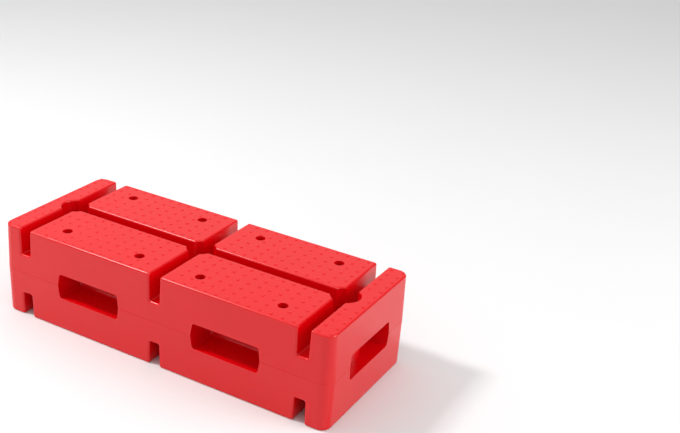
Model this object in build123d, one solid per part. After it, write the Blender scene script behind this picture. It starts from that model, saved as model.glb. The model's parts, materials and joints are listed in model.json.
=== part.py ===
"""Water-ballasted barrier block.

Two moulded half shells, split at mid height, are clamped on a seam gasket by bolts that stand
in wells in the deck.  The closed block holds water.  Posts stand in three round sockets, boards
stand in the slots of the deck and of the underside, and hand grips are let into all four sides.
A filler plug and a drain plug screw into bulkhead necks in the rear face.

Frame: origin on the ground at the middle of the footprint, +X along the length, +Z up,
the rear face with the plugs on the +Y side.  Millimetres and degrees.
"""

from build123d import *

import math
import os
from dataclasses import dataclass

# ---------------------------------------------------------------- overall sizes
length = 600.0
width = 240.0
height = 153.0
wall = 4.0
corner_radius = 17.0
draft_angle = 1.0            # every outer wall leans in by this much, up and down from the seam
deck_edge_radius = 3.0
foot_edge_radius = 3.0
mouth_beyond_edge = 0.5      # how much rounder a slot's mouth in a long face is than the edges
seam_chamfer = 0.25
cut_through = 1.0            # how far a cut runs on past the face that it breaks

# ---------------------------------------------------------------- slots and post sockets
end_bar = 36.0               # solid deck left between an end face and the first cross slot
deck_slot_width = 20.0       # takes an 18 mm board
deck_slot_depth = 45.0
deck_slot_lean = 1.2         # degrees, each side wall
foot_slot_width = 19.0
foot_slot_depth = 39.0
foot_slot_lean = 1.2
slot_floor_radius = 2.5      # between a slot's floor and its side walls
slot_run_out = 20.0          # how far a cross slot's cut runs on past each long face
socket_bore = 45.0           # takes a 42.4 mm fence post

# ---------------------------------------------------------------- hand grips
side_grip_width = 114.0
side_grip_depth = 52.0
end_grip_width = 116.0
end_grip_depth = 44.0
grip_height = 42.0
grip_bow = 3.0               # how much wider a grip is at the seam than at its roof, each side
grip_corner = 5.0
grip_run_out = 30.0          # how far a grip's cut runs on past its face

# ---------------------------------------------------------------- clamp bolts (M8)
bolt_diameter = 8.0
bolt_length = 80.0
bolt_head_diameter = 13.0
bolt_head_height = 8.0
bolt_key_size = 6.0
bolt_key_depth = 4.5
bolt_chamfer = 0.8
washer_play = 0.2            # radial, washer round the bolt
washer_diameter = 15.0
washer_thickness = 1.6
nut_flats = 13.0
nut_height = 6.8
bolt_hole_clearance = 0.5    # radial
well_clearance = 0.5         # radial, round the washer
nut_clearance = 0.2          # each side, round the nut's flats
bolt_end_stand_out = 2.6     # thread left showing below the nut
bolt_to_grip = 14.0          # bolt axis beside the edge of a side grip
bolt_inset = 38.5            # bolt axis behind a long face

# ---------------------------------------------------------------- seam flange and gasket
flange_reach = 13.0          # from any dry edge to the water
flange_thickness = 5.0
gasket_near = 6.0            # from any dry edge to the gasket
gasket_width = 3.0
gasket_height = 3.0
outline_run_out = 20.0       # how far the seam outline's cuts run on past the faces

# ---------------------------------------------------------------- plugs
filler_bore_radius = 12.3    # clear way through the neck
drain_bore_radius = 8.3
neck_wall = 1.7
neck_flange_overlap = 5.0    # flange beyond the neck's tube
plug_head_overlap = 4.0      # plug head beyond the neck's tube
plug_seal_overlap = 2.0      # plug seal beyond the neck's tube
plug_scallops = 12
scallop_share = 0.45         # scallop's width over the spacing of the scallops
scallop_centre_out = 0.55    # scallop's axis outside the head's rim, in scallop radii
scallop_base = 1.5           # plain rim left under the scallops
plug_edge_radius = 1.2
coin_slot_width = 3.2
coin_slot_depth = 3.5
coin_slot_length = 1.5       # in head radii
plug_from_slot = 30.0        # plug axis beside the first cross slot
filler_below_deck = 7.0      # from the deck to the filler's recess
drain_above_ground = 13.0
recess_clearance = 2.0       # radial, round a neck's flange
thread_play = 0.3            # radial
tube_play = 0.3              # radial, neck tube in the shell's hole
fitting_seat_depth = 14.0    # from the rear face at the seam to the floor of a recess

# ---------------------------------------------------------------- worked-out places
seam_z = height / 2
mouth_radius = max(deck_edge_radius, foot_edge_radius) + mouth_beyond_edge
slot_pitch = (length - 2 * end_bar - deck_slot_width) / 2
socket_centres = [-slot_pitch, 0.0, slot_pitch]
pad_centres = [-slot_pitch / 2, slot_pitch / 2]
socket_radius = socket_bore / 2
tube_radius = socket_radius + wall
bolt_hole_radius = bolt_diameter / 2 + bolt_hole_clearance
well_radius = washer_diameter / 2 + well_clearance
boss_radius = well_radius + wall
bolt_x = side_grip_width / 2 + bolt_to_grip
bolt_y = width / 2 - bolt_inset
bolt_places = [
    (centre + along * bolt_x, across * bolt_y)
    for centre in pad_centres
    for along in (-1, 1)
    for across in (-1, 1)
]
# The washer's seat and the nut's seat share the bolt's grip length equally about the seam.
grip_length = bolt_length - washer_thickness - nut_height - bolt_end_stand_out
washer_seat_z = seam_z + grip_length / 2 - (bolt_end_stand_out + washer_thickness) / 2
nut_seat_z = washer_seat_z - grip_length


@dataclass(frozen=True)
class Fitting:
    """Sizes of one bulkhead neck and its screw plug, along the plug's axis.

    Heights are counted outward from the floor of the recess in the rear face.
    """

    name: str
    z: float
    bore_radius: float
    x: float = -slot_pitch + deck_slot_width / 2 + plug_from_slot
    seal_thickness: float = 1.5
    flange_thickness: float = 2.5
    nut_height: float = 5.5
    tube_end: float = 1.0     # tube beyond its nut
    plug_seal_thickness: float = 1.5
    head_height: float = 7.0
    head_floor: float = 1.0   # closed end of the hollow shank
    shank_length: float = 12.0
    shank_wall: float = 2.5
    thread_height: float = 1.0

    @property
    def tube_radius(self):
        return self.bore_radius + neck_wall

    @property
    def flange_radius(self):
        return self.tube_radius + neck_flange_overlap

    @property
    def head_radius(self):
        return self.tube_radius + plug_head_overlap

    @property
    def shank_radius(self):
        """Root of the plug's thread; the crest is one thread height further out."""
        return self.bore_radius - thread_play - self.thread_height

    @property
    def hole_radius(self):
        return self.tube_radius + tube_play

    @property
    def recess_radius(self):
        return recess_radius(self.bore_radius)

    @property
    def flange_top(self):
        return self.seal_thickness + self.flange_thickness

    @property
    def head_base(self):
        return self.flange_top + self.plug_seal_thickness

    def place(self, shape):
        """Turn a shape made along +Z to point out of the rear face, at this fitting's place."""
        seat_y = width / 2 - fitting_seat_depth
        return Pos(self.x, seat_y, self.z) * Rot(X=-90) * shape


def recess_radius(bore_radius):
    """Radius of the recess in the rear face that a neck with this bore sits in."""
    return bore_radius + neck_wall + neck_flange_overlap + recess_clearance


filler_z = height - filler_below_deck - recess_radius(filler_bore_radius)
drain_z = drain_above_ground + recess_radius(drain_bore_radius)
filler = Fitting("filler", filler_z, filler_bore_radius)
drain = Fitting("drain", drain_z, drain_bore_radius)


def slab(x_size, y_size, z_low, z_high, x=0.0, y=0.0):
    """A box between two heights, centred on x and y."""
    middle = (z_low + z_high) / 2
    return Pos(x, y, middle) * Box(x_size, y_size, z_high - z_low)


def rod(radius, z_low, z_high, x=0.0, y=0.0):
    """An upright cylinder between two heights."""
    return Pos(x, y, (z_low + z_high) / 2) * Cylinder(radius, z_high - z_low)


def ring(outer, inner, z_low, z_high, x=0.0, y=0.0):
    """An upright tube between two heights."""
    hole = rod(inner, z_low - cut_through, z_high + cut_through, x, y)
    return rod(outer, z_low, z_high, x, y) - hole


def hexagon(flats, z_low, z_high, x=0.0, y=0.0):
    """An upright hexagonal bar, given by its width across flats."""
    outline = RegularPolygon(flats / 2, 6, major_radius=False)
    return Pos(x, y, z_low) * extrude(outline, z_high - z_low)


def half_block(up, inset=0.0, reach=None):
    """Half of the block's drafted outer form, from the seam to its deck (up=1) or foot (up=-1)."""
    outline = RectangleRounded(length - 2 * inset, width - 2 * inset, corner_radius - inset)
    tall = seam_z if reach is None else reach
    direction = (0, 0, up)
    return Pos(0, 0, seam_z) * extrude(outline, tall, dir=direction, taper=draft_angle)


def slot_cutter(x_size, y_size, up, depth, lean, x=0.0):
    """A slot that narrows towards its rounded floor, from the deck (up=1) or the foot (up=-1)."""
    mouth_z = height if up > 0 else 0.0
    grow = 2 * cut_through * math.tan(math.radians(lean))
    outline = Rectangle(x_size + grow, y_size + grow)
    cut = extrude(outline, depth + cut_through, dir=(0, 0, -up), taper=lean)
    floor = cut.faces().sort_by(Axis.Z)[0 if up > 0 else -1]
    long_edges = floor.edges().sort_by(SortBy.LENGTH)[-2:]
    cut = fillet(long_edges, slot_floor_radius)
    return Pos(x, 0, mouth_z + up * cut_through) * cut


def slot_cutters(up):
    """The three cross slots and, on the deck, the long slot that joins them."""
    clear = width + 2 * slot_run_out
    if up > 0:
        cuts = [
            slot_cutter(deck_slot_width, clear, up, deck_slot_depth, deck_slot_lean, x)
            for x in socket_centres
        ]
        cuts.append(
            slot_cutter(2 * slot_pitch, deck_slot_width, up, deck_slot_depth, deck_slot_lean)
        )
        return cuts
    return [
        slot_cutter(foot_slot_width, clear, up, foot_slot_depth, foot_slot_lean, x)
        for x in socket_centres
    ]


def slot_walls(up):
    """The slots grown by one wall, which the water space keeps clear of."""
    if up > 0:
        wide = deck_slot_width + 2 * wall
        low, high = height - deck_slot_depth - wall, height
        walls = [slab(wide, width, low, high, x) for x in socket_centres]
        walls.append(slab(2 * slot_pitch, wide, low, high))
        return walls
    wide = foot_slot_width + 2 * wall
    return [slab(wide, width, 0.0, foot_slot_depth + wall, x) for x in socket_centres]


def grip_form(opening, depth, up, grow=0.0):
    """Half of one hand grip's hollow, from the seam to its roof, let in along -Y from y = 0.

    The hollow is widest at the seam and its roof edges are rounded.  grow adds a wall to it.
    """
    rise = grip_height / 2
    lean = math.degrees(math.atan(grip_bow / rise))
    wide = opening + 2 * grip_bow + 2 * grow
    deep = depth + grip_run_out + grow
    outline = Pos(0, grip_run_out - deep / 2) * RectangleRounded(wide, deep, grip_corner + grow)
    form = extrude(outline, rise + grow, dir=(0, 0, up), taper=lean)
    roof = form.faces().sort_by(Axis.Z)[-1 if up > 0 else 0]
    form = fillet(roof.edges(), grip_corner)
    return Pos(0, 0, seam_z) * form


def grip_forms(up, grow=0.0):
    """The hollows of the four side grips and the two end grips, for one half."""
    forms = []
    for x in pad_centres:
        side = grip_form(side_grip_width, side_grip_depth, up, grow)
        forms.append(Pos(x, width / 2, 0) * side)
        forms.append(Pos(x, -width / 2, 0) * Rot(Z=180) * side)
    end = grip_form(end_grip_width, end_grip_depth, up, grow)
    forms.append(Pos(length / 2, 0, 0) * Rot(Z=-90) * end)
    forms.append(Pos(-length / 2, 0, 0) * Rot(Z=90) * end)
    return forms


def dry_outline(distance):
    """The face at the seam that lies at least this far from every dry edge of the block."""
    face = RectangleRounded(
        length - 2 * distance, width - 2 * distance, corner_radius - min(distance, wall)
    )
    side_wide = side_grip_width + 2 * (grip_bow + distance)
    side_deep = side_grip_depth + distance
    end_wide = end_grip_width + 2 * (grip_bow + distance)
    end_deep = end_grip_depth + distance
    rounding = grip_corner + distance
    for x in pad_centres:
        for side in (-1, 1):
            y = side * (width / 2 - side_deep / 2 + outline_run_out)
            cut = RectangleRounded(side_wide, side_deep + 2 * outline_run_out, rounding)
            face -= Pos(x, y) * cut
    for side in (-1, 1):
        x = side * (length / 2 - end_deep / 2 + outline_run_out)
        face -= Pos(x, 0) * RectangleRounded(end_deep + 2 * outline_run_out, end_wide, rounding)
    for x in socket_centres:
        face -= Pos(x, 0) * Circle(socket_radius + distance)
    for x, y in bolt_places:
        face -= Pos(x, y) * Circle(bolt_hole_radius + distance)
    return face


def gasket_solids():
    """The seam gasket's strip and, apart from it, the ring round the middle socket."""
    band = dry_outline(gasket_near) - dry_outline(gasket_near + gasket_width)
    strip = extrude(band, gasket_height)
    placed = Pos(0, 0, seam_z - gasket_height / 2) * strip
    pieces = placed.solids().sort_by(SortBy.VOLUME)
    return pieces[-1], pieces[:-1]


def water_space(up):
    """The hollow of one half shell, inside its walls, flange, tubes, bosses and grips."""
    tall = seam_z - wall
    space = half_block(up, wall, tall)
    for blocker in slot_walls(up) + grip_forms(up, wall):
        space -= blocker
    low, high = (seam_z, height) if up > 0 else (0.0, seam_z)
    for x in socket_centres:
        space -= rod(tube_radius, low, high, x)
    for x, y in bolt_places:
        space -= rod(boss_radius, low, high, x, y)
    flange = slab(length, width, 0.0, flange_thickness)
    opening = extrude(dry_outline(flange_reach), flange_thickness)
    flange -= opening
    flange_z = seam_z if up > 0 else seam_z - flange_thickness
    space -= Pos(0, 0, flange_z) * flange
    fitting = filler if up > 0 else drain
    boss = rod(fitting.recess_radius + wall, -wall, fitting_seat_depth)
    space -= fitting.place(boss)
    return space


def well_cutters(up):
    """Bolt wells in the deck, or nut recesses in the foot, with the bolt holes beyond them."""
    cuts = []
    for x, y in bolt_places:
        cuts.append(rod(bolt_hole_radius, 0.0, height, x, y))
        if up > 0:
            cuts.append(rod(well_radius, washer_seat_z, height + cut_through, x, y))
        else:
            cuts.append(hexagon(nut_flats + 2 * nut_clearance, -cut_through, nut_seat_z, x, y))
    return cuts


def mouth_edges(shape, up):
    """The U-shaped edges where the cross slots run out through the long faces."""
    reach = (deck_slot_width if up > 0 else foot_slot_width) / 2 + cut_through
    found = []
    for edge in shape.edges():
        box = edge.bounding_box()
        on_a_mouth = any(x - reach < box.min.X and box.max.X < x + reach for x in socket_centres)
        on_a_long_face = min(abs(box.min.Y), abs(box.max.Y)) > width / 2 - wall
        if on_a_mouth and on_a_long_face:
            found.append(edge)
    return found


def plane_edges(shape, z):
    """All edges that lie in the level plane at z."""
    found = []
    for edge in shape.edges():
        box = edge.bounding_box()
        if abs(box.min.Z - z) < 0.01 and abs(box.max.Z - z) < 0.01:
            found.append(edge)
    return found


def half_shell(up):
    """The upper (up=1) or lower (up=-1) half shell."""
    shell = half_block(up)
    shell = chamfer(plane_edges(shell, seam_z), seam_chamfer)
    for cut in slot_cutters(up):
        shell -= cut
    for x in socket_centres:
        shell -= rod(socket_radius, -cut_through, height + cut_through, x)
    shell = fillet(mouth_edges(shell, up), mouth_radius)
    outer_z = height if up > 0 else 0.0
    edge_radius = deck_edge_radius if up > 0 else foot_edge_radius
    shell = fillet(plane_edges(shell, outer_z), edge_radius)
    for hollow in grip_forms(up):
        for x in (-slot_pitch, slot_pitch):
            hollow -= rod(tube_radius, 0.0, height, x)
        shell -= hollow
    for cut in well_cutters(up):
        shell -= cut
    fitting = filler if up > 0 else drain
    recess_end = fitting_seat_depth + cut_through
    shell -= fitting.place(rod(fitting.recess_radius, 0.0, recess_end))
    shell -= water_space(up)
    shell -= fitting.place(rod(fitting.hole_radius, -2 * wall, cut_through))
    strip, rings = gasket_solids()
    shell -= strip
    for piece in rings:
        shell -= piece
    return shell


def clamp_bolts():
    """Socket-head bolts, standing in the deck's wells."""
    head_z = washer_seat_z + washer_thickness
    head = rod(bolt_head_diameter / 2, head_z, head_z + bolt_head_height)
    head = chamfer(head.edges().group_by(Axis.Z)[-1], bolt_chamfer)
    key_floor = head_z + bolt_head_height - bolt_key_depth
    head -= hexagon(bolt_key_size, key_floor, head_z + bolt_head_height + cut_through)
    shank = rod(bolt_diameter / 2, head_z - bolt_length, head_z)
    shank = chamfer(shank.edges().group_by(Axis.Z)[0], bolt_chamfer)
    bolt = head + shank
    return [Pos(x, y, 0) * bolt for x, y in bolt_places]


def clamp_washers():
    """Flat washers under the bolt heads."""
    inner = bolt_diameter / 2 + washer_play
    washer = ring(washer_diameter / 2, inner, washer_seat_z, washer_seat_z + washer_thickness)
    return [Pos(x, y, 0) * washer for x, y in bolt_places]


def clamp_nuts():
    """Hexagon nuts, captive in the recesses of the foot."""
    low = nut_seat_z - nut_height
    nut = hexagon(nut_flats, low, nut_seat_z)
    nut -= rod(bolt_diameter / 2, low - cut_through, nut_seat_z + cut_through)
    return [Pos(x, y, 0) * nut for x, y in bolt_places]


def neck(f):
    """The flanged tube that the plug screws into."""
    tube_low = -(wall + f.nut_height + f.tube_end)
    body = rod(f.tube_radius, tube_low, f.seal_thickness)
    body += rod(f.flange_radius, f.seal_thickness, f.flange_top)
    return body - rod(f.bore_radius, tube_low - cut_through, f.flange_top + cut_through)


def neck_seal(f):
    """The flat ring between the neck's flange and the shell."""
    return ring(f.flange_radius, f.hole_radius, 0.0, f.seal_thickness)


def neck_nut(f):
    """The nut inside the shell that draws the neck's flange down."""
    low = -(wall + f.nut_height)
    flats = 2 * f.flange_radius * math.cos(math.radians(30))
    nut = hexagon(flats, low, -wall)
    return nut - rod(f.tube_radius, low - cut_through, cut_through - wall)


def plug_seal(f):
    """The flat ring that travels under the plug's head."""
    inner = f.shank_radius + f.thread_height + thread_play
    return ring(f.tube_radius + plug_seal_overlap, inner, f.flange_top, f.head_base)


def plug(f):
    """The screw plug: a scalloped head with a coin slot, and a hollow shank."""
    top = f.head_base + f.head_height
    head = rod(f.head_radius, f.head_base, top)
    head = fillet(head.edges().group_by(Axis.Z)[-1], plug_edge_radius)
    scallop_radius = math.pi * f.head_radius / plug_scallops * scallop_share
    scallop = rod(scallop_radius, f.head_base + scallop_base, top + cut_through)
    scallop_places = f.head_radius + scallop_radius * scallop_centre_out
    for place in PolarLocations(scallop_places, plug_scallops):
        head -= place * scallop
    coin_slot = slab(
        coin_slot_length * f.head_radius, coin_slot_width, top - coin_slot_depth, top + cut_through
    )
    head -= coin_slot
    shank_low = f.head_base - f.shank_length
    shank = rod(f.shank_radius, shank_low, f.head_base)
    hollow_top = f.head_base - f.head_floor
    shank -= rod(f.shank_radius - f.shank_wall, shank_low - cut_through, hollow_top)
    return head + shank


def fitting_nodes(f):
    """The five pieces of one neck and plug, in place."""
    makers = {
        "neck": neck,
        "neck_seal": neck_seal,
        "neck_nut": neck_nut,
        "plug": plug,
        "plug_seal": plug_seal,
    }
    return {f"{f.name}_{key}": [f.place(make(f))] for key, make in makers.items()}


def all_nodes():
    """Every piece of the block: node name to its separate solids."""
    strip, rings = gasket_solids()
    nodes = {
        "upper_shell": [half_shell(1)],
        "lower_shell": [half_shell(-1)],
        "seam_gasket": [strip],
        "middle_socket_seal": rings,
        "clamp_bolts": clamp_bolts(),
        "clamp_washers": clamp_washers(),
        "clamp_nuts": clamp_nuts(),
    }
    nodes.update(fitting_nodes(filler))
    nodes.update(fitting_nodes(drain))
    return nodes


def main():
    """Write one STEP file for each node."""
    os.makedirs("parts", exist_ok=True)
    for name, solids in all_nodes().items():
        shape = solids[0] if len(solids) == 1 else Compound(children=list(solids))
        shape.label = name
        export_step(shape, f"parts/{name}.step")
        print(name, len(shape.solids()), round(shape.volume))


if __name__ == "__main__":
    main()
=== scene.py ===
"""Looks of a water filled barrier block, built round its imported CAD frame.

The block is a pair of moulded polyethylene half shells, clamped by bolts on a seam gasket, with
a filler plug and a drain plug in the rear face.  The CAD nodes keep their shape and get their
finishes here; the deck's anti-slip pips and the plugs' screw threads are added as meshes.
Everything is in metres, in the CAD frame.
"""

import json
import logging
import math
from dataclasses import dataclass, field
from enum import Enum
from typing import Iterator, Optional, Sequence

import bmesh
import bpy
from mathutils import Matrix, Vector

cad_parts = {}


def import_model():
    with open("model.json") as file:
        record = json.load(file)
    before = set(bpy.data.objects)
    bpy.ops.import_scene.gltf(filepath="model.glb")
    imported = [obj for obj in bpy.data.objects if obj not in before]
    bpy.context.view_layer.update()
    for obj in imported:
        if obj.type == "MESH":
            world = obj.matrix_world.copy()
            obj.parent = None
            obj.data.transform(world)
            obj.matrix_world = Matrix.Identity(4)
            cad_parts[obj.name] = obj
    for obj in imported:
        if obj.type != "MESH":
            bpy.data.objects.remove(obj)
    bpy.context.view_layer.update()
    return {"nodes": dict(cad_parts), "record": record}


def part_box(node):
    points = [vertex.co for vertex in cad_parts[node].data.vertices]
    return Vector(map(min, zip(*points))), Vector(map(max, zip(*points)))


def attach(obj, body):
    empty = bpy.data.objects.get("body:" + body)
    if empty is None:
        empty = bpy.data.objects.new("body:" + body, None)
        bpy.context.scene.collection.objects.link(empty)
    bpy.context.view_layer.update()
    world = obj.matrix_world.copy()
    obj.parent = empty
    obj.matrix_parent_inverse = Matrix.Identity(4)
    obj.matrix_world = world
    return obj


LOG = logging.getLogger("barrier")
MM = 0.001

# Sockets of a Mix node that is set to mix colours.
MIX_SHARE_IN = 0
MIX_FIRST_COLOUR_IN = 6
MIX_SECOND_COLOUR_IN = 7
MIX_COLOUR_OUT = 2

# The sRGB curve: a straight toe, then a power.
SRGB_TOE_END = 0.04045
SRGB_TOE_SLOPE = 12.92
SRGB_OFFSET = 0.055
SRGB_POWER = 2.4


def linear(hex_colour: str) -> tuple[float, float, float, float]:
    """Turn an sRGB hex colour into the linear colour that shaders use.

    Args:
        hex_colour: six hex digits with a leading hash.

    Returns:
        Linear red, green and blue, and an alpha of one.
    """
    digits = hex_colour.lstrip("#")
    channels = [int(digits[i:i + 2], 16) / 255 for i in (0, 2, 4)]
    red, green, blue = (
        c / SRGB_TOE_SLOPE if c <= SRGB_TOE_END
        else ((c + SRGB_OFFSET) / (1 + SRGB_OFFSET)) ** SRGB_POWER
        for c in channels
    )
    return (red, green, blue, 1.0)


def per_metre(size_mm: float) -> float:
    """Texture scale at which one feature measures size_mm, in object space."""
    return 1.0 / (size_mm * MM)


def add_node(
    tree: bpy.types.NodeTree,
    kind: str,
    settings: Optional[dict] = None,
    links: Optional[dict] = None,
) -> bpy.types.Node:
    """Add one shader node, set its values and link its inputs.

    Args:
        tree: the material's or world's node tree.
        kind: the node's type name.
        settings: attribute or input name to value; inputs are tried first.
        links: input name to the output socket that feeds it.

    Returns:
        The new node.
    """
    node = tree.nodes.new(kind)
    for name, value in (settings or {}).items():
        if name in node.inputs:
            node.inputs[name].default_value = value
        else:
            setattr(node, name, value)
    for name, source in (links or {}).items():
        tree.links.new(source, node.inputs[name])
    return node


class Pattern(Enum):
    """The kind of fine pattern on a finish's surface."""

    GRAIN = "soft grain, taken from a mould or a press"
    CRYSTALS = "the crystals of a plated coat"


@dataclass(frozen=True)
class Finish:
    """One real material and the surface that making it left.

    Attributes:
        name: the material's name, and how it was made.
        colour: sRGB hex of the fresh surface.
        mottle_colour: sRGB hex that the colour drifts towards in soft patches.
        mottle_mm: size of those patches.
        mottle_amount: share of the drift, from 0 to 1.
        roughness: mean roughness.
        roughness_swing: how far roughness moves either side of its mean.
        ior: index of refraction; a metal keeps the default.
        metallic: 1 for a metal.
        grain_mm: size of the fine pattern.
        grain_height_mm: height of the fine pattern.
        wave_mm: length of the slow waviness of the face.
        wave_height_mm: height of that waviness.
        pattern: the kind of fine pattern.
        noise_roughness: how strongly a noise's finer layers show.
        mottle_range: the span of a noise over which the mottle grows.
        polish_range: the span of a noise over which the roughness swings.
        polish_size: size of the polish's patches, as a share of the mottle's.
        mottle_detail: how many finer layers the mottle holds.
        polish_detail: the same for the roughness.
        grain_detail: the same for the fine grain.
        wave_detail: the same for the waviness.
    """

    name: str
    colour: str
    mottle_colour: str
    mottle_mm: float
    mottle_amount: float
    roughness: float
    roughness_swing: float
    ior: float = 1.5
    metallic: float = 0.0
    grain_mm: float = 1.0
    grain_height_mm: float = 0.02
    wave_mm: float = 40.0
    wave_height_mm: float = 0.0
    pattern: Pattern = Pattern.GRAIN
    noise_roughness: float = 0.55
    mottle_range: tuple[float, float] = (0.35, 0.75)
    polish_range: tuple[float, float] = (0.3, 0.7)
    polish_size: float = 0.6
    mottle_detail: float = 2.0
    polish_detail: float = 4.0
    grain_detail: float = 3.0
    wave_detail: float = 1.0

    def noise(
        self, tree: bpy.types.NodeTree, coords: bpy.types.NodeSocket, size_mm: float, detail: float
    ) -> bpy.types.NodeSocket:
        """A soft noise of one size.

        Args:
            tree: the material's node tree.
            coords: object coordinates in metres.
            size_mm: size of its patches.
            detail: how many finer layers it holds.

        Returns:
            The socket that carries the noise, from 0 to 1.
        """
        settings = {
            "Scale": per_metre(size_mm), "Detail": detail, "Roughness": self.noise_roughness,
        }
        node = add_node(tree, "ShaderNodeTexNoise", settings, {"Vector": coords})
        return node.outputs["Fac"]

    def fine_pattern(
        self, tree: bpy.types.NodeTree, coords: bpy.types.NodeSocket
    ) -> bpy.types.NodeSocket:
        """The fine pattern's height, from 0 to 1.

        Args:
            tree: the material's node tree.
            coords: object coordinates in metres.

        Returns:
            The socket that carries the height.
        """
        if self.pattern is Pattern.CRYSTALS:
            cells = {"Scale": per_metre(self.grain_mm), "feature": "F1"}
            return add_node(
                tree, "ShaderNodeTexVoronoi", cells, {"Vector": coords}
            ).outputs["Distance"]
        return self.noise(tree, coords, self.grain_mm, self.grain_detail)

    def build(self) -> bpy.types.Material:
        """Make the material.

        Returns:
            A node-based material in object coordinates.
        """
        material = bpy.data.materials.new(self.name)
        material.use_nodes = True
        tree = material.node_tree
        tree.nodes.clear()
        coords = add_node(tree, "ShaderNodeTexCoord").outputs["Object"]
        surface = add_node(tree, "ShaderNodeBsdfPrincipled", {
            "IOR": self.ior, "Metallic": self.metallic,
        })
        patches = self.noise(tree, coords, self.mottle_mm, self.mottle_detail)
        mottle_from, mottle_to = self.mottle_range
        share = add_node(
            tree, "ShaderNodeMapRange",
            {"From Min": mottle_from, "From Max": mottle_to,
             "To Min": 0.0, "To Max": self.mottle_amount},
            {"Value": patches},
        ).outputs["Result"]
        colour = add_node(tree, "ShaderNodeMix", {"data_type": "RGBA"})
        colour.inputs[MIX_FIRST_COLOUR_IN].default_value = linear(self.colour)
        colour.inputs[MIX_SECOND_COLOUR_IN].default_value = linear(self.mottle_colour)
        tree.links.new(share, colour.inputs[MIX_SHARE_IN])
        tree.links.new(colour.outputs[MIX_COLOUR_OUT], surface.inputs["Base Color"])
        polish_mm = self.mottle_mm * self.polish_size
        polish_from, polish_to = self.polish_range
        polish = add_node(
            tree, "ShaderNodeMapRange",
            {"From Min": polish_from, "From Max": polish_to,
             "To Min": self.roughness - self.roughness_swing,
             "To Max": self.roughness + self.roughness_swing},
            {"Value": self.noise(tree, coords, polish_mm, self.polish_detail)},
        ).outputs["Result"]
        tree.links.new(polish, surface.inputs["Roughness"])
        relief = add_node(
            tree, "ShaderNodeBump",
            {"Strength": 1.0, "Distance": self.grain_height_mm * MM},
            {"Height": self.fine_pattern(tree, coords)},
        )
        if self.wave_height_mm > 0:
            swell = add_node(
                tree, "ShaderNodeBump",
                {"Strength": 1.0, "Distance": self.wave_height_mm * MM},
                {"Height": self.noise(tree, coords, self.wave_mm, self.wave_detail)},
            )
            tree.links.new(swell.outputs["Normal"], relief.inputs["Normal"])
        tree.links.new(relief.outputs["Normal"], surface.inputs["Normal"])
        add_node(tree, "ShaderNodeOutputMaterial", links={"Surface": surface.outputs["BSDF"]})
        return material


# Moulded high-density polyethylene, coloured through.  A satin face from the spark-eroded
# mould gives broad soft reflections; the slow waviness is the skin's shrinkage as it cooled.
# The mould's real grain is too fine to show, so it is drawn 9 mm wide and very low.
RED_POLYETHYLENE = Finish(
    name="moulded_red_polyethylene", colour="#E0010C", mottle_colour="#DA010B",
    mottle_mm=70.0, mottle_amount=0.5, roughness=0.25, roughness_swing=0.01, ior=1.50,
    grain_mm=9.0, grain_height_mm=0.002, wave_mm=90.0, wave_height_mm=0.05,
)
# Nitrile rubber, press moulded: near black, matt, slightly grey where it is handled.
NITRILE_RUBBER = Finish(
    name="pressed_nitrile_rubber", colour="#1B1B1C", mottle_colour="#2A2A2B",
    mottle_mm=6.0, mottle_amount=0.6, roughness=0.72, roughness_swing=0.08, ior=1.52,
    grain_mm=0.6, grain_height_mm=0.02,
)
# Bright zinc plate on steel: a cool metal with a fine crystal bloom that breaks up highlights.
# The real crystals are too fine to show, so they are drawn half a millimetre wide.
ZINC_PLATED_STEEL = Finish(
    name="zinc_plated_steel", colour="#C6C9CC", mottle_colour="#B9B7A6",
    mottle_mm=4.0, mottle_amount=0.7, roughness=0.34, roughness_swing=0.07, metallic=1.0,
    grain_mm=0.5, grain_height_mm=0.01, pattern=Pattern.CRYSTALS,
)
# Glass-filled nylon, injection moulded: dark grey, with the fibre bloom that dulls its gloss.
FILLED_NYLON = Finish(
    name="moulded_filled_nylon", colour="#26272A", mottle_colour="#35363A",
    mottle_mm=9.0, mottle_amount=0.6, roughness=0.46, roughness_swing=0.07, ior=1.53,
    grain_mm=0.7, grain_height_mm=0.015,
)
# Polypropylene, injection moulded: black and a little shinier than the nylon beside it.
BLACK_POLYPROPYLENE = Finish(
    name="moulded_black_polypropylene", colour="#151618", mottle_colour="#222326",
    mottle_mm=12.0, mottle_amount=0.5, roughness=0.38, roughness_swing=0.06, ior=1.49,
    grain_mm=0.8, grain_height_mm=0.015,
)
# Seamless studio paper: near white and fully matt.  Its fibres are drawn coarser than real.
STUDIO_PAPER = Finish(
    name="matt_studio_paper", colour="#E8E8E8", mottle_colour="#E6E6E6",
    mottle_mm=300.0, mottle_amount=0.5, roughness=0.9, roughness_swing=0.03, ior=1.4,
    grain_mm=2.0, grain_height_mm=0.01,
)


@dataclass
class FinishRack:
    """Builds each finish once and hands it out.

    Attributes:
        made: finish name to its material.
    """

    made: dict[str, bpy.types.Material] = field(default_factory=dict)

    def get(self, finish: Finish) -> bpy.types.Material:
        """The material of a finish."""
        if finish.name not in self.made:
            self.made[finish.name] = finish.build()
        return self.made[finish.name]

    def dress(self, piece: bpy.types.Object, finish: Finish) -> None:
        """Give a piece one finish all over."""
        piece.data.materials.clear()
        piece.data.materials.append(self.get(finish))


def new_piece(name: str, mesh: bmesh.types.BMesh, smooth: bool = True) -> bpy.types.Object:
    """Turn a bmesh into a scene object.

    Args:
        name: the piece's name.
        mesh: its geometry, in metres, in the CAD frame; it is freed.
        smooth: whether its faces shade smoothly.

    Returns:
        The new object.
    """
    data = bpy.data.meshes.new(name)
    mesh.normal_update()
    mesh.to_mesh(data)
    mesh.free()
    for face in data.polygons:
        face.use_smooth = smooth
    piece = bpy.data.objects.new(name, data)
    bpy.context.scene.collection.objects.link(piece)
    return piece


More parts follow.
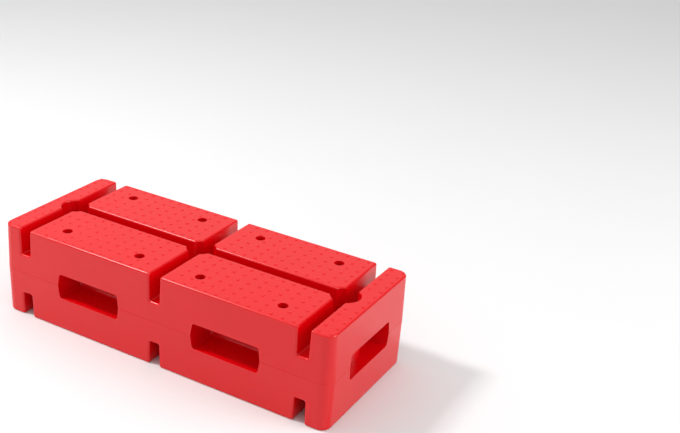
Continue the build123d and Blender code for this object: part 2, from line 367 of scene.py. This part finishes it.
def middle(spots: Sequence[Vector]) -> Vector:
    """The middle of the box round some flat places."""
    xs = [spot.x for spot in spots]
    ys = [spot.y for spot in spots]
    return Vector(((min(xs) + max(xs)) / 2, (min(ys) + max(ys)) / 2))


def lathe(
    mesh: bmesh.types.BMesh,
    profile: Sequence[tuple[float, float]],
    centre: Vector,
    steps: int,
) -> None:
    """Add a small turned form about an upright axis.

    Args:
        mesh: the bmesh to add to.
        profile: (radius, height) pairs from the rim up; a last radius of zero closes the top.
        centre: the foot of the axis.
        steps: faces round the axis.
    """
    rings: list[list[bmesh.types.BMVert]] = []
    for radius, height in profile:
        if radius == 0:
            rings.append([mesh.verts.new(centre + Vector((0, 0, height)))])
            continue
        ring = []
        for step in range(steps):
            angle = 2 * math.pi * step / steps
            offset = Vector((radius * math.cos(angle), radius * math.sin(angle), height))
            ring.append(mesh.verts.new(centre + offset))
        rings.append(ring)
    for lower, upper in zip(rings, rings[1:]):
        for step in range(steps):
            after = (step + 1) % steps
            if len(upper) == 1:
                mesh.faces.new((lower[step], lower[after], upper[0]))
            else:
                mesh.faces.new((lower[step], lower[after], upper[after], upper[step]))
    mesh.faces.new(tuple(reversed(rings[0])))


@dataclass
class HalfShells:
    """The two moulded half shells.

    Attributes:
        rack: where finishes come from.
        nodes: the CAD nodes.
    """

    rack: FinishRack
    nodes: dict[str, bpy.types.Object]

    def dress(self) -> None:
        """Give both shells their moulded polyethylene."""
        for name in ("upper_shell", "lower_shell"):
            self.rack.dress(self.nodes[name], RED_POLYETHYLENE)
            LOG.info("dressed %s", name)


@dataclass
class DeckPips:
    """The anti-slip pips moulded on the deck's pads and end bars.

    Attributes:
        rack: where finishes come from.
        record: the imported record, which places the sockets.
        pitch_mm: pip to pip, both ways.
        radius_mm: pip radius at the deck.
        height_mm: pip height.
        shoulder: (radius, height) of the corners of its side, as shares of the pip's own.
        pad_columns: columns of pips on one pad.
        pad_rows: rows of pips on one pad.
        bar_columns: columns of pips on an end bar.
        bar_rows: rows of pips on an end bar.
        pad_margin_mm: from an outer cross slot to a pad's first column.
        slot_mm: width of a deck slot at its mouth.
        well_gap_mm: no pip stands nearer than this to a bolt well's axis.
        socket_gap_mm: no pip stands nearer than this to a socket's wall.
        sink_mm: how far a pip's foot is buried in the deck.
        flare: how much wider the buried foot is than the pip.
        steps: faces round a pip.
    """

    rack: FinishRack
    record: dict
    pitch_mm: float = 18.4
    radius_mm: float = 2.8
    height_mm: float = 0.9
    shoulder: tuple[tuple[float, float], ...] = ((1.0, 0.0), (0.86, 0.85), (0.70, 1.0))
    pad_columns: int = 12
    pad_rows: int = 6
    bar_columns: int = 2
    bar_rows: int = 13
    pad_margin_mm: float = 10.5
    slot_mm: float = 20.0
    well_gap_mm: float = 12.0
    socket_gap_mm: float = 6.0
    sink_mm: float = 0.3
    flare: float = 1.12
    steps: int = 16

    def sockets(self) -> list[tuple[Vector, float]]:
        """Each post socket's axis and radius, in metres."""
        mounts = [m for m in self.record["mounts"] if m["name"].endswith("post_socket")]
        return [(Vector(m["pos_m"]).to_2d(), m["dims"]["r_mm"] * MM) for m in mounts]

    def wells(self) -> list[Vector]:
        """Each bolt well's axis, found as the middle of the washer that lies in it."""
        groups: list[list[Vector]] = []
        reach = 2 * self.well_gap_mm * MM
        for vertex in bpy.data.objects["clamp_washers"].data.vertices:
            spot = vertex.co.to_2d()
            for group in groups:
                if (group[0] - spot).length < reach:
                    group.append(spot)
                    break
            else:
                groups.append([spot])
        return [middle(group) for group in groups]

    def spots(self, high: Vector) -> Iterator[Vector]:
        """Every place in the pips' grid, pad by pad and bar by bar.

        Args:
            high: the upper shell's highest corner.

        Yields:
            Places on the deck.
        """
        pitch = self.pitch_mm * MM
        half_slot = self.slot_mm * MM / 2
        outer = max(axis.x for axis, _ in self.sockets())
        pad_middle = (half_slot + high.y) / 2
        bar_middle = (outer + half_slot + high.x) / 2
        for side in (-1, 1):
            for column in range(self.pad_columns):
                x = side * (outer - half_slot - self.pad_margin_mm * MM - column * pitch)
                for row in range(self.pad_rows):
                    y = pad_middle + (row - (self.pad_rows - 1) / 2) * pitch
                    yield Vector((x, y))
                    yield Vector((x, -y))
            for column in range(self.bar_columns):
                x = side * (bar_middle + (column - (self.bar_columns - 1) / 2) * pitch)
                for row in range(self.bar_rows):
                    yield Vector((x, (row - (self.bar_rows - 1) / 2) * pitch))

    def build(self) -> bpy.types.Object:
        """Make all pips as one moulded skin on the upper shell.

        Returns:
            The pips.
        """
        _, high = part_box("upper_shell")
        deck = Vector((0, 0, high[2]))
        keep_outs = [(well, self.well_gap_mm * MM) for well in self.wells()]
        keep_outs += [(axis, radius + self.socket_gap_mm * MM) for axis, radius in self.sockets()]
        radius = self.radius_mm * MM
        height = self.height_mm * MM
        profile = [(radius * self.flare, -self.sink_mm * MM)]
        profile += [(radius * out, height * up) for out, up in self.shoulder]
        profile.append((0.0, height))
        mesh = bmesh.new()
        count = 0
        for spot in self.spots(Vector(high)):
            if all((spot - axis).length >= gap for axis, gap in keep_outs):
                lathe(mesh, profile, deck + spot.to_3d(), self.steps)
                count += 1
        piece = new_piece("deck_pips", mesh, smooth=False)
        self.rack.dress(piece, RED_POLYETHYLENE)
        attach(piece, "block")
        LOG.info("made %d deck pips", count)
        return piece


@dataclass
class ScrewPlug:
    """One screw plug, its neck and their seals.

    Attributes:
        rack: where finishes come from.
        nodes: the CAD nodes.
        name: filler or drain.
        pitch_mm: thread pitch.
        thread_mm: height of the thread's crest above its root.
        flank: half width of the thread's foot, as a share of the pitch.
        crest: half width of the crest, as a share of the foot's.
        sink_mm: how far the thread's foot is buried in the shank.
        end_gap_mm: plain shank left at either end of the thread.
        turns: most turns of thread on the shank.
        steps: points in one turn.
        fade_steps: points over which the thread grows at its start and dies at its end.
    """

    rack: FinishRack
    nodes: dict[str, bpy.types.Object]
    name: str
    pitch_mm: float
    thread_mm: float = 1.0
    flank: float = 0.32
    crest: float = 0.35
    sink_mm: float = 0.2
    end_gap_mm: float = 0.2
    turns: float = 2.2
    steps: int = 40
    fade_steps: int = 8

    def dress(self) -> None:
        """Give the neck, plug and seals their finishes."""
        finishes = {
            "neck": FILLED_NYLON, "neck_nut": FILLED_NYLON, "neck_seal": NITRILE_RUBBER,
            "plug": BLACK_POLYPROPYLENE, "plug_seal": NITRILE_RUBBER,
        }
        for part, finish in finishes.items():
            self.rack.dress(self.nodes[f"{self.name}_{part}"], finish)
        LOG.info("dressed the %s's neck, plug and seals", self.name)

    def shank(self) -> tuple[Vector, float, float, float]:
        """The shank's axis and radius, read from the plug's mesh.

        Returns:
            The axis point, the root radius, and the inner and outer ends along Y.
        """
        low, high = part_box(f"{self.name}_plug")
        seal_low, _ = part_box(f"{self.name}_plug_seal")
        axis = Vector(((low[0] + high[0]) / 2, 0, (low[2] + high[2]) / 2))
        end_face = low[1] + self.end_gap_mm * MM
        reach = [
            math.hypot(v.co.x - axis.x, v.co.z - axis.z)
            for v in self.nodes[f"{self.name}_plug"].data.vertices
            if v.co.y < end_face
        ]
        return axis, max(reach), low[1], seal_low[1]

    def build(self) -> bpy.types.Object:
        """Make the thread that winds round the shank.

        Returns:
            The thread's ridge.
        """
        axis, root, inner, outer = self.shank()
        pitch = self.pitch_mm * MM
        half = pitch * self.flank
        foot = root - self.sink_mm * MM
        start = inner + half + self.end_gap_mm * MM
        room = outer - half - self.end_gap_mm * MM - start
        turns = min(self.turns, room / pitch)
        total = int(self.steps * turns)
        mesh = bmesh.new()
        rows: list[list[bmesh.types.BMVert]] = []
        for step in range(total + 1):
            angle = 2 * math.pi * step / self.steps
            along = start + pitch * step / self.steps
            grown = min(1.0, step / self.fade_steps, (total - step) / self.fade_steps)
            top = root + self.thread_mm * MM * grown
            section = [(foot, -half), (top, -half * self.crest),
                       (top, half * self.crest), (foot, half)]
            row = []
            for radius, aside in section:
                place = Vector((
                    radius * math.sin(angle), along + aside, radius * math.cos(angle),
                ))
                row.append(mesh.verts.new(axis + place))
            rows.append(row)
        for before, after in zip(rows, rows[1:]):
            for corner in range(len(before)):
                beside = (corner + 1) % len(before)
                mesh.faces.new((before[corner], before[beside], after[beside], after[corner]))
        mesh.faces.new(tuple(reversed(rows[0])))
        mesh.faces.new(tuple(rows[-1]))
        bmesh.ops.recalc_face_normals(mesh, faces=mesh.faces)
        piece = new_piece(f"{self.name}_plug_thread", mesh, smooth=False)
        self.rack.dress(piece, BLACK_POLYPROPYLENE)
        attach(piece, f"{self.name}_screw_plug")
        LOG.info("made the %s plug's thread, %.1f turns", self.name, turns)
        return piece


@dataclass
class ClampSet:
    """The bolts, washers and nuts that clamp the shells, and the seals at the seam.

    Attributes:
        rack: where finishes come from.
        nodes: the CAD nodes.
    """

    rack: FinishRack
    nodes: dict[str, bpy.types.Object]

    def dress(self) -> None:
        """Give the fasteners their zinc and the seals their rubber."""
        for name in ("clamp_bolts", "clamp_washers", "clamp_nuts"):
            self.rack.dress(self.nodes[name], ZINC_PLATED_STEEL)
        for name in ("seam_gasket", "middle_socket_seal"):
            self.rack.dress(self.nodes[name], NITRILE_RUBBER)
        LOG.info("dressed the clamp bolts and seam seals")


@dataclass(frozen=True)
class SoftBox:
    """One soft box, hung round the block and facing it.

    Attributes:
        name: the lamp's name.
        azimuth: degrees round the block, 0 in front of it and 90 at its right end.
        elevation: degrees above the horizon.
        far: metres from the block.
        long_side: metres, level.
        short_side: metres.
        power: watts.
    """

    name: str
    azimuth: float
    elevation: float
    far: float
    long_side: float
    short_side: float
    power: float


# Draws the bright line along every front-facing edge.
STRIP_BOX = SoftBox("strip_softbox", -69.6, 54.9, 2.6, 0.32, 0.45, 37.0)
# Reaches down into the deck slots.
OVERHEAD_BOX = SoftBox("overhead_softbox", 60.0, 80.0, 2.8, 1.0, 1.0, 6.0)
# Lifts the right-hand end above the front.
END_BOX = SoftBox("end_softbox", 105.0, 28.0, 3.0, 1.2, 1.2, 30.0)


def towards(azimuth: float, elevation: float) -> Vector:
    """The direction from the block to a place round it.

    Args:
        azimuth: degrees round the block, 0 in front of it and 90 at its right end.
        elevation: degrees above the horizon.

    Returns:
        A unit vector.
    """
    turn = math.radians(azimuth)
    rise = math.radians(elevation)
    level = math.cos(rise)
    return Vector((math.sin(turn) * level, -math.cos(turn) * level, math.sin(rise)))


@dataclass
class Studio:
    """A pale floor, a white surround, soft lamps and the camera.

    Attributes:
        rack: where finishes come from.
        azimuth: degrees round the block that the camera stands at.
        elevation: degrees above the horizon that it stands at.
        roll: degrees that the camera leans to its right.
        distance: metres from the aim point.
        aim: the point on the camera's axis.
        lens_mm: focal length on a 36 mm wide frame.
        sensor_mm: width of that frame.
        shift_x: sideways lens shift, as a share of the frame's width.
        surround_low: brightness of the white surround at the horizon.
        surround_high: its brightness overhead.
        surround_turn: sine of the elevation above which it starts to brighten.
        flag_azimuth: degrees round the block to the middle of the dark flag.
        flag_elevation: degrees above the horizon to the same.
        flag_reach: cosine of the angle from the flag's middle to its soft outer rim.
        flag_shade: share of the surround that the flag's middle takes away.
        floor_size: half side of the floor, in metres.
    """

    rack: FinishRack
    azimuth: float = 30.264
    elevation: float = 24.540
    roll: float = 3.149
    distance: float = 1.9908
    aim: tuple[float, float, float] = (-0.0510, 0.3291, 0.0704)
    lens_mm: float = 57.538
    sensor_mm: float = 36.0
    shift_x: float = 0.0850
    surround_low: float = 0.68
    surround_high: float = 0.70
    surround_turn: float = 0.4
    flag_azimuth: float = 146.0
    flag_elevation: float = 29.0
    flag_reach: float = 0.80
    flag_shade: float = 0.75
    floor_size: float = 30.0

    def floor(self) -> None:
        """Lay the studio paper."""
        mesh = bmesh.new()
        bmesh.ops.create_grid(mesh, x_segments=1, y_segments=1, size=self.floor_size)
        floor = new_piece("studio_floor", mesh, smooth=False)
        self.rack.dress(floor, STUDIO_PAPER)

    def hang(self, box: SoftBox) -> None:
        """Hang one soft box so that it faces the block, its long side level.

        Args:
            box: the soft box.
        """
        data = bpy.data.lights.new(box.name, "AREA")
        data.energy = box.power
        data.shape = "RECTANGLE"
        data.size = box.long_side
        data.size_y = box.short_side
        lamp = bpy.data.objects.new(box.name, data)
        away = towards(box.azimuth, box.elevation)
        along = Vector((-away.y, away.x, 0)).normalized()
        across = away.cross(along)
        turn = Matrix((along, across, away)).transposed()
        lamp.location = away * box.far
        lamp.rotation_mode = "QUATERNION"
        lamp.rotation_quaternion = turn.to_quaternion()
        bpy.context.scene.collection.objects.link(lamp)

    def surround(self) -> None:
        """Set the white surround, brighter overhead than at the horizon, and its dark flag.

        The flag stands behind the block and to its right, and keeps the edges that face the
        right-hand end a full red.
        """
        world = bpy.data.worlds.new("white_surround")
        world.use_nodes = True
        tree = world.node_tree
        tree.nodes.clear()
        direction = add_node(tree, "ShaderNodeTexCoord").outputs["Generated"]
        parts = add_node(tree, "ShaderNodeSeparateXYZ", links={"Vector": direction})
        strength = add_node(
            tree, "ShaderNodeMapRange",
            {"From Min": self.surround_turn, "From Max": 1.0,
             "To Min": self.surround_low, "To Max": self.surround_high},
            {"Value": parts.outputs["Z"]},
        )
        nearness = add_node(
            tree, "ShaderNodeVectorMath", {"operation": "DOT_PRODUCT"}, {"Vector": direction},
        )
        nearness.inputs[1].default_value = towards(self.flag_azimuth, self.flag_elevation)
        passed = add_node(
            tree, "ShaderNodeMapRange",
            {"From Min": self.flag_reach, "From Max": 1.0,
             "To Min": 1.0, "To Max": 1.0 - self.flag_shade},
            {"Value": nearness.outputs["Value"]},
        )
        flagged = add_node(tree, "ShaderNodeMath", {"operation": "MULTIPLY"})
        tree.links.new(strength.outputs["Result"], flagged.inputs[0])
        tree.links.new(passed.outputs["Result"], flagged.inputs[1])
        glow = add_node(
            tree, "ShaderNodeBackground",
            {"Color": (1.0, 1.0, 1.0, 1.0)}, {"Strength": flagged.outputs["Value"]},
        )
        add_node(tree, "ShaderNodeOutputWorld", links={"Surface": glow.outputs["Background"]})
        bpy.context.scene.world = world

    def camera(self) -> None:
        """Set the camera where the block is looked at from."""
        data = bpy.data.cameras.new("camera")
        data.lens = self.lens_mm
        data.sensor_width = self.sensor_mm
        data.shift_x = self.shift_x
        camera = bpy.data.objects.new("camera", data)
        back = towards(self.azimuth, self.elevation)
        camera.location = Vector(self.aim) + back * self.distance
        turn = (-back).to_track_quat("-Z", "Y").to_matrix().to_4x4()
        leaned = turn @ Matrix.Rotation(math.radians(self.roll), 4, "Z")
        camera.rotation_mode = "QUATERNION"
        camera.rotation_quaternion = leaned.to_quaternion()
        bpy.context.scene.collection.objects.link(camera)
        bpy.context.scene.camera = camera

    def build(self) -> None:
        """Set up the whole studio."""
        self.camera()
        self.floor()
        self.surround()
        for box in (STRIP_BOX, OVERHEAD_BOX, END_BOX):
            self.hang(box)
        bpy.context.scene.view_settings.view_transform = "Standard"
        LOG.info("set up the studio")


# Coarse moulded threads that turn easily with a coin.
THREAD_PITCHES_MM = {"filler": 4.0, "drain": 3.0}


def main() -> None:
    logging.basicConfig(level=logging.INFO, format="%(name)s: %(message)s")
    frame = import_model()
    nodes = frame["nodes"]
    rack = FinishRack()
    Studio(rack).build()
    HalfShells(rack, nodes).dress()
    DeckPips(rack, frame["record"]).build()
    ClampSet(rack, nodes).dress()
    for name, pitch_mm in THREAD_PITCHES_MM.items():
        plug = ScrewPlug(rack, nodes, name, pitch_mm)
        plug.dress()
        plug.build()


if __name__ == "__main__":
    main()
